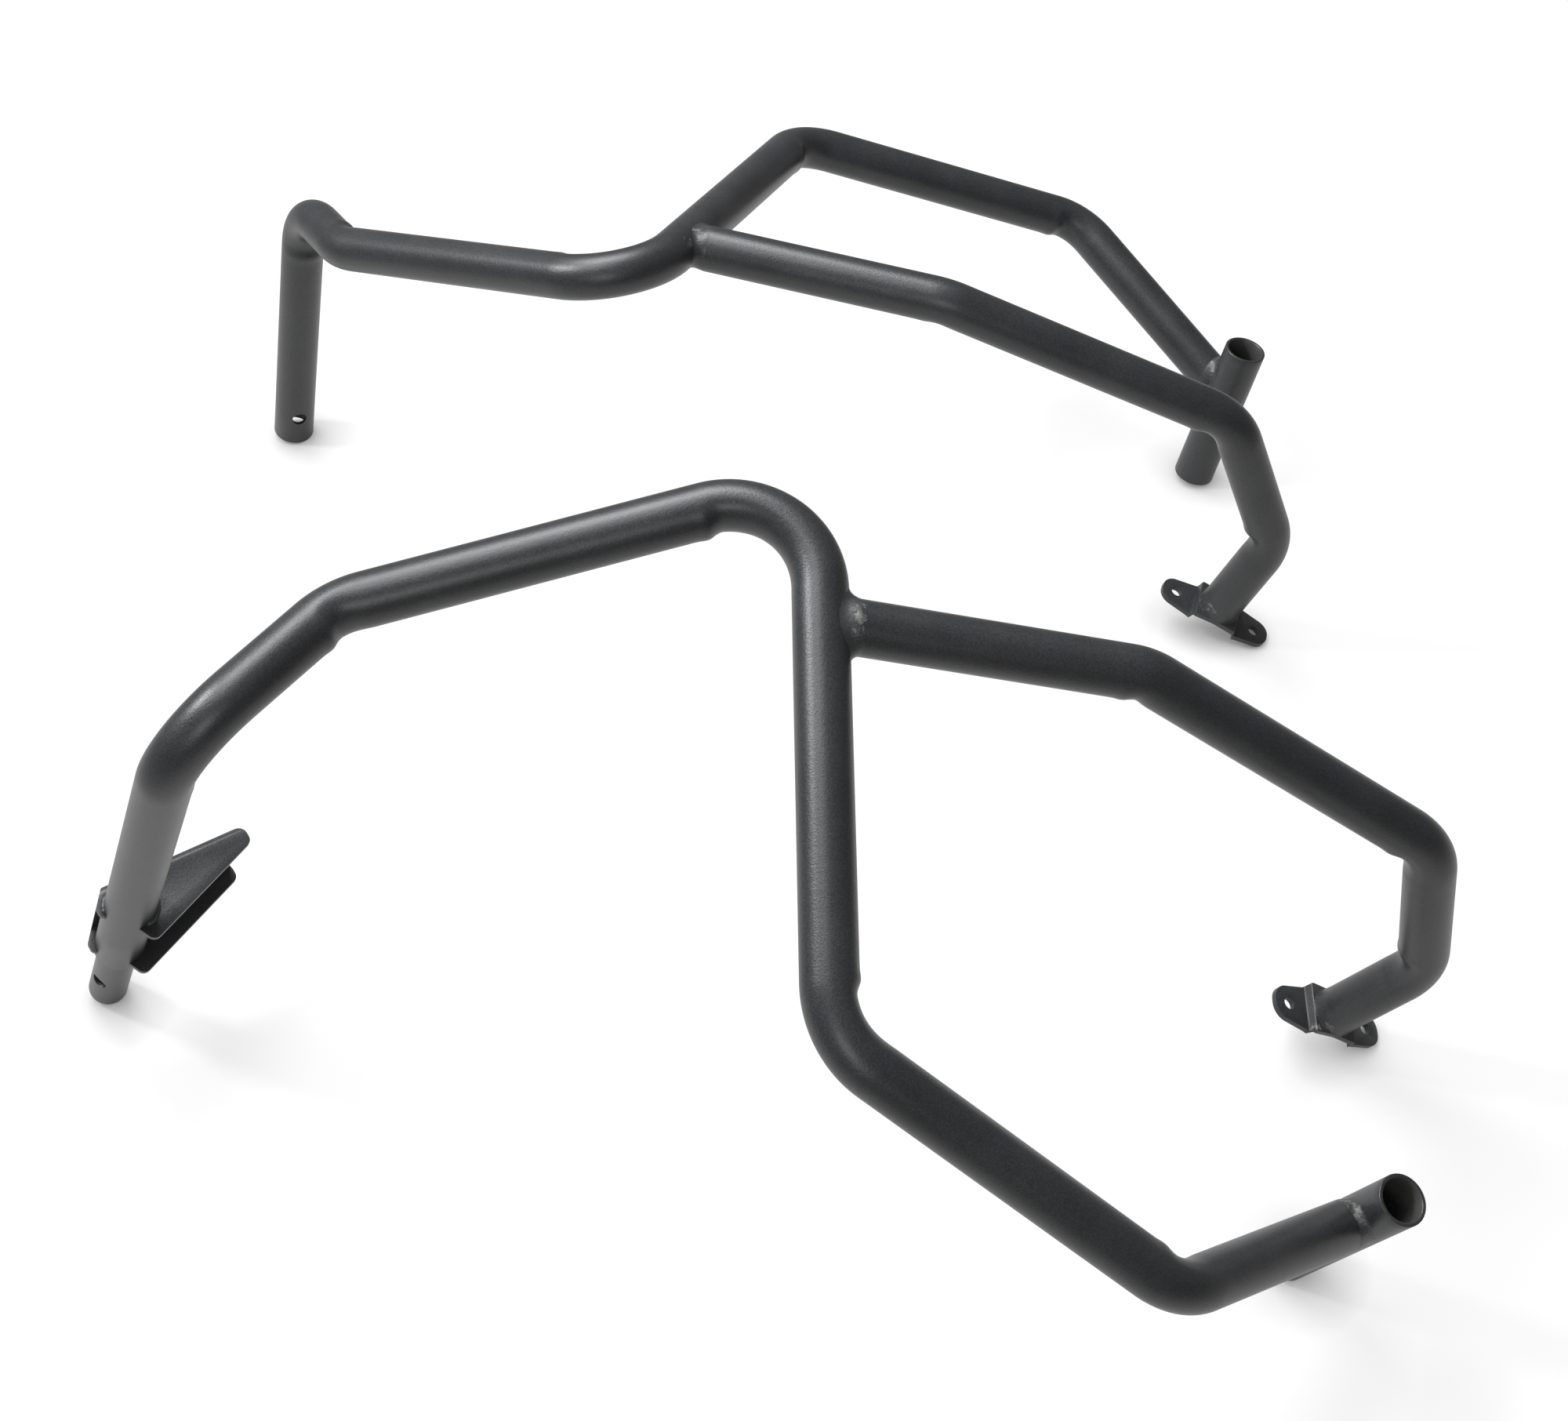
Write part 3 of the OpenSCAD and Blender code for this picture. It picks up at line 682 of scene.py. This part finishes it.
def plateFilletWeld(name, base, first, last, seed, place):
    # a concave weld from the raised middle of the plate up the skin of the branch
    f = plateFillet
    r, level = tube["radius"], -plateShape["step"]
    sections = []
    for k in range(f["around"] + 1):
        share = k / f["around"]
        t = math.radians(first + (last - first) * share)
        ends = smooth(0, f["thinOver"], share) * smooth(0, f["thinOver"], 1 - share)
        full = f["thin"] + (1 - f["thin"]) * ends
        out = Vector((math.cos(t), math.sin(t), 0))
        uneven = 1 + f["uneven"] * noise.noise(Vector((t * 2, seed, 0)))
        climb = (f["least"] + (f["up"] - f["least"]) * full) * uneven
        reach = r + f["least"] + (f["out"] - r - f["least"]) * full
        start = out * (r - f["sink"]) + Vector((0, 0, level - climb))
        land = out * reach + Vector((0, 0, level + f["sink"]))
        corner = out * (r + f["corner"]) + Vector((0, 0, level - f["lap"]))
        section = []
        for i in range(f["across"] + 1):
            u = i / f["across"]
            p = start * (1 - u) ** 2 + corner * 2 * u * (1 - u) + land * u * u
            wave = ripple(t * r + math.sin(math.pi * u), seed)
            lift = math.sin(math.pi * u) * (f["swell"] * full + f["ripple"] * wave)
            section.append(p + (out + Vector((0, 0, -1))).normalized() * lift)
        section.append(out * (reach - f["lap"]) + Vector((0, 0, level + f["lap"])))
        section.append(out * (r - f["inside"]) + Vector((0, 0, level + f["lap"])))
        section.append(out * (r - f["inside"]) + Vector((0, 0, level - climb)))
        sections.append([base @ p for p in section])
    verts, faces = skin(sections, True, True)
    return newPiece(name, verts, faces, place, beadCoat)


for side, bar in bars.items():
    place = standing(bar)
    legs = bar["legs"]
    teeBase = jointFrame(legs) @ rollBy(branchStart["roll"])
    sleeveAngle = 180 - sleeveShape["tilt"]
    spots = scuffs[side]
    keep(mainTube(side, bar, place), side + "_tube", spots)
    keep(branchTube(side, bar, place), side + "_branch", spots)
    keep(crossSleeve(side, bar, place), side + "_sleeve", spots)
    keep(boltPlate(side, bar, place), side + "_plate", spots)
    bead = filletWeld(side + ".teeWeld", teeBase, branchStart["tilt"], teeFillet, place)
    keep(bead, side + "_tee_weld", spots)
    bead = filletWeld(side + ".sleeveWeld", sleeveFrame(legs), sleeveAngle, sleeveFillet, place)
    keep(bead, side + "_sleeve_weld", spots)
    for end, turn in (("outer", 0), ("inner", 180)):
        base = plateFrame(legs) @ rollBy(turn)
        bead = plateFilletWeld(side + ".plateWeld." + end, base, -90, 90, 2.0 + turn, place)
        keep(bead, side + "_plate_weld_" + end, spots)
    print(side, "bar built")

# the thinner end of the near bar; where it starts and ends, and its radius, stand in bars
spigotShape = {"bore": 7.0, "inside": 25.0, "holeFromTip": 30.0, "holeRadius": 4.5, "rim": 1.2, "boreRim": 0.4,
               "edge": 0.35, "steps": 16}
stepWeld = {"cone": 4.5, "under": 0.2, "below": 0.1, "lap": 0.3, "curve": 1.6, "steps": 8, "waves": 11,
            "waveDepth": 0.006}


def steppedEnd(side, bar, place):
    s, radius, tip, tubeEnd = spigotShape, bar["tipRadius"], bar["tip"], bar["lead"]
    rim, bore, steps = s["rim"], s["bore"], s["steps"]
    top = -tubeEnd + s["inside"]
    long = s["inside"] + tip - tubeEnd - rim
    profile = [(radius, top)] + [(radius, top - long * i / steps) for i in range(1, steps + 1)]
    profile += [(radius - rim * (1 - math.cos(t)), -tip + rim * (1 - math.sin(t))) for t in (0.5, 1.0, 1.57)]
    profile += [(bore + s["boreRim"], -tip), (bore, -tip + s["boreRim"]), (bore, -tubeEnd), (bore, top)]
    verts, faces = skin(turnedRings(profile, Matrix.Identity(4), tube["around"]), loop=True)
    piece = newPiece(side + ".steppedEnd", verts, faces, place, coat)
    drillFrame = moveBy(0, 0, s["holeFromTip"] - tip) @ tiltBy(90)
    combine(piece, rod(drillFrame, s["holeRadius"], 4 * radius, place, coat), "DIFFERENCE")
    return softenEdges(piece, s["edge"], 40, 2)


def endCone(side, bar, place):
    w, end = stepWeld, -bar["lead"]
    inner, outer = bar["tipRadius"] - w["under"], tube["radius"] - w["below"]
    profile = [(inner - 1, end + w["lap"])]
    for i in range(w["steps"] + 1):
        t = i / w["steps"]
        profile.append((inner + (outer - inner) * (1 - t) ** w["curve"], end - w["cone"] * t + w["lap"] * (1 - t)))
    profile.append((inner - 1, end - w["cone"]))
    rings = turnedRings(profile, Matrix.Identity(4), tube["around"], w["waves"], w["waveDepth"])
    verts, faces = skin(rings, True, True)
    return newPiece(side + ".stepWeld", verts, faces, place, coat)


# at is measured from the first corner; lip is how far the left end stands out beyond the tube
channelShape = {"at": 197.0, "height": 56.0, "thick": 3.0, "fold": 4.5, "reach": 68.5, "front": 21.0, "tip": 10.5,
                "tipBack": 6.0, "tipFront": 4.0, "turn": -16.5, "lip": 2.2, "gap": 0.2, "edge": 0.4,
                "stockBefore": 50.0, "stockAfter": 25.0}
# arcs round the tube in degrees, and the size of the bead beside a common one
channelBeads = {"": {"arc": (-78, 50), "size": 1.0}, "_left": {"arc": (128, 172), "size": 0.6}}


def channel(side, place):
    c = channelShape
    r, thick, height, fold = tube["radius"], c["thick"], c["height"], c["fold"]
    back = r + c["gap"] + thick
    far = 2 * c["front"]
    section = roundedOutline([
        (-far, -height, 0), (back, -height, fold), (back, 0, fold), (-far, 0, 0), (-far, -thick, 0),
        (back - thick, -thick, fold - thick), (back - thick, thick - height, fold - thick),
        (-far, thick - height, 0)])
    left = -r - c["lip"]
    outline = roundedOutline([
        (left / 2, back, c["tipFront"]), (c["reach"], back, c["tipBack"]),
        (c["reach"], back - c["tip"], c["tipFront"]), (thick, -c["front"], c["tipFront"]), (-r / 3, -r / 2, 0),
        (-r / 2, 0, 0), (left, 0, thick), (left, r / 2, c["tipFront"])])
    base = moveBy(0, 0, -c["at"]) @ rollBy(c["turn"])
    alongTube = Matrix(((0, 0, 1, 0), (1, 0, 0, 0), (0, 1, 0, 0), (0, 0, 0, 1)))
    turned = base @ moveBy(-c["stockBefore"], 0, 0) @ alongTube
    long = c["stockBefore"] + c["reach"] + c["stockAfter"]
    piece = prism(side + ".channel", section, 0, long, turned, place, sheetCoat)
    combine(piece, prism("blank", outline, -height - past, past, base, place, sheetCoat), "INTERSECT")
    drill = rod(base @ moveBy(0, 0, -height / 2), r + 0.05, height + 10, place, sheetCoat)
    combine(piece, drill, "DIFFERENCE")
    return softenEdges(piece, c["edge"])


place = standing(bars["near"])
keep(steppedEnd("near", bars["near"], place), "near_spigot")
keep(endCone("near", bars["near"], place), "near_spigot_weld")
keep(channel("near", place), "near_channel")
for where, values in channelBeads.items():
    for edge, height, up in (("top", -channelShape["at"], 0.8),
                             ("foot", -channelShape["at"] - channelShape["height"], -0.8)):
        first, last = values["arc"]
        bead = arcBead("near.channelWeld." + edge + where, rollBy(channelShape["turn"]), first, last, height, up,
                       values["size"], 3.0 + first, place)
        keep(bead, "near_channel_weld_" + edge + where)
print("mounting end built")

# glow is what the camera and reflections see of the paper; for reflections only it is a painted pool of light that dims
# with distance, and for both it dims close under the object as a painted contact shadow; reach is in metres
floorLook = {"size": 6.0, "paper": "#bebebe", "rough": 0.9, "glow": 0.78, "shadowPaper": "#767676", "reach": 0.03,
             "closed": 0.4, "open": 0.64, "brightTo": 0.45, "dimFrom": 1.1, "dim": 0.15}
# strength of the even light from all round
room = 0.17
lights = {  # degrees around and up, then distance, width and depth in metres, power in watts
    "keyBehindLeft": (122, 61, 2.4, 1.15, 1.0, 60),
    "leftHigh": (179, 46, 2.3, 0.3, 0.34, 40),
    "topLeft": (196, 74, 2.3, 0.9, 0.9, 15),
    "frontLow": (274, 32, 2.4, 0.85, 0.65, 11),
}
lightsAim = (0, 0, 0.15)
# the focal length is in pixels of a frame that is frameWidth wide
cameraPose = {"at": (0.14228, -0.84893, 1.05008), "turn": 8.9135, "pitch": 49.341, "tilt": -0.0456,
              "focal": 2991.554, "frameWidth": 2000, "sensor": 36}


def makeFloor():
    # matt white studio paper that keeps the object's soft shadow, plus a painted contact shadow and painted pool of
    # light
    look = floorLook
    mesh = bpy.data.meshes.new("floor")
    size = look["size"]
    mesh.from_pydata([(-size, -size, 0), (size, -size, 0), (size, size, 0), (-size, size, 0)], [], [(0, 1, 2, 3)])
    floor = bpy.data.objects.new("floor", mesh)
    bpy.context.scene.collection.objects.link(floor)
    material = bpy.data.materials.new("paleStudioPaper")
    material.use_nodes = True
    tree = material.node_tree
    paper = tree.nodes["Principled BSDF"]
    paper.inputs["Base Color"].default_value = linear(look["paper"])
    paper.inputs["Roughness"].default_value = look["rough"]
    path = addNode(tree, "ShaderNodeLightPath")
    camera = path.outputs["Is Camera Ray"]
    seen = maths(tree, "MAXIMUM", camera, path.outputs["Is Glossy Ray"])
    seen = maths(tree, "MAXIMUM", seen, path.outputs["Is Transmission Ray"])
    # painted contact shadow: ambient occlusion darkens the paper's glow close under the object and inside open tube
    # ends
    paintedShadowAO = addNode(tree, "ShaderNodeAmbientOcclusion", samples=2, Distance=look["reach"])
    openFloor = ramp(tree, paintedShadowAO.outputs["AO"], look["closed"], grey(0), look["open"], grey(1))
    # painted pool of light: for reflections the glow is full near the object and dims with distance
    away = addNode(tree, "ShaderNodeVectorMath", operation="LENGTH")
    tree.links.new(addNode(tree, "ShaderNodeTexCoord").outputs["Object"], away.inputs[0])
    fade = addNode(tree, "ShaderNodeMapRange", interpolation_type="SMOOTHSTEP", From_Min=look["brightTo"],
                   From_Max=look["dimFrom"], To_Min=1.0, To_Max=look["dim"])
    tree.links.new(away.outputs["Value"], fade.inputs["Value"])
    level = maths(tree, "MAXIMUM", fade.outputs["Result"], camera)
    glow = addNode(tree, "ShaderNodeEmission")
    tree.links.new(openFloor, glow.inputs["Color"])
    tree.links.new(maths(tree, "MULTIPLY", level, look["glow"]), glow.inputs["Strength"])
    matt = addNode(tree, "ShaderNodeBsdfDiffuse", Color=linear(look["shadowPaper"]))
    both = addNode(tree, "ShaderNodeAddShader")
    tree.links.new(glow.outputs[0], both.inputs[0])
    tree.links.new(matt.outputs[0], both.inputs[1])
    mix = addNode(tree, "ShaderNodeMixShader")
    tree.links.new(seen, mix.inputs["Fac"])
    tree.links.new(paper.outputs[0], mix.inputs[1])
    tree.links.new(both.outputs[0], mix.inputs[2])
    tree.links.new(mix.outputs[0], tree.nodes["Material Output"].inputs["Surface"])
    mesh.materials.append(material)


def makeWorld():
    # a dim even room, white where the camera looks past the floor
    world = bpy.data.worlds.new("studio")
    bpy.context.scene.world = world
    world.use_nodes = True
    tree = world.node_tree
    even = tree.nodes["Background"]
    even.inputs["Color"].default_value = (1, 1, 1, 1)
    even.inputs["Strength"].default_value = room
    path = addNode(tree, "ShaderNodeLightPath")
    flat = addNode(tree, "ShaderNodeBackground", Color=(1, 1, 1, 1), Strength=1.0)
    mix = addNode(tree, "ShaderNodeMixShader")
    tree.links.new(path.outputs["Is Camera Ray"], mix.inputs["Fac"])
    tree.links.new(even.outputs[0], mix.inputs[1])
    tree.links.new(flat.outputs[0], mix.inputs[2])
    tree.links.new(mix.outputs[0], tree.nodes["World Output"].inputs["Surface"])


def softLight(name, around, up, distance, width, depth, power):
    light = bpy.data.lights.new(name, "AREA")
    light.shape = "RECTANGLE"
    light.size, light.size_y = width, depth
    light.energy = power
    lamp = bpy.data.objects.new(name, light)
    bpy.context.scene.collection.objects.link(lamp)
    around, up = math.radians(around), math.radians(up)
    ray = Vector((math.cos(up) * math.cos(around), math.cos(up) * math.sin(around), math.sin(up)))
    lamp.location = Vector(lightsAim) + ray * distance
    lamp.rotation_euler = (-ray).to_track_quat("-Z", "Y").to_euler()
    lamp.visible_camera = False


def makeCamera():
    pose = cameraPose
    data = bpy.data.cameras.new("camera")
    data.sensor_width = pose["sensor"]
    data.sensor_fit = "HORIZONTAL"
    data.lens = pose["sensor"] * pose["focal"] / pose["frameWidth"]
    data.clip_start, data.clip_end = 0.05, 50
    camera = bpy.data.objects.new("camera", data)
    bpy.context.scene.collection.objects.link(camera)
    pitch, tilt = math.radians(pose["pitch"]), math.radians(pose["tilt"])
    forward = Vector((0, math.cos(pitch), -math.sin(pitch)))
    right = Vector((1, 0, 0))
    down = forward.cross(right)
    right, down = math.cos(tilt) * right + math.sin(tilt) * down, math.cos(tilt) * down - math.sin(tilt) * right
    axes = Matrix((right, -down, -forward)).transposed().to_4x4()
    camera.matrix_world = moveBy(*pose["at"]) @ rollBy(pose["turn"]) @ axes
    bpy.context.scene.camera = camera


makeFloor()
makeWorld()
for lamp, values in lights.items():
    softLight(lamp, *values)
makeCamera()
view = bpy.context.scene.view_settings
view.view_transform = "Standard"
print("studio ready")
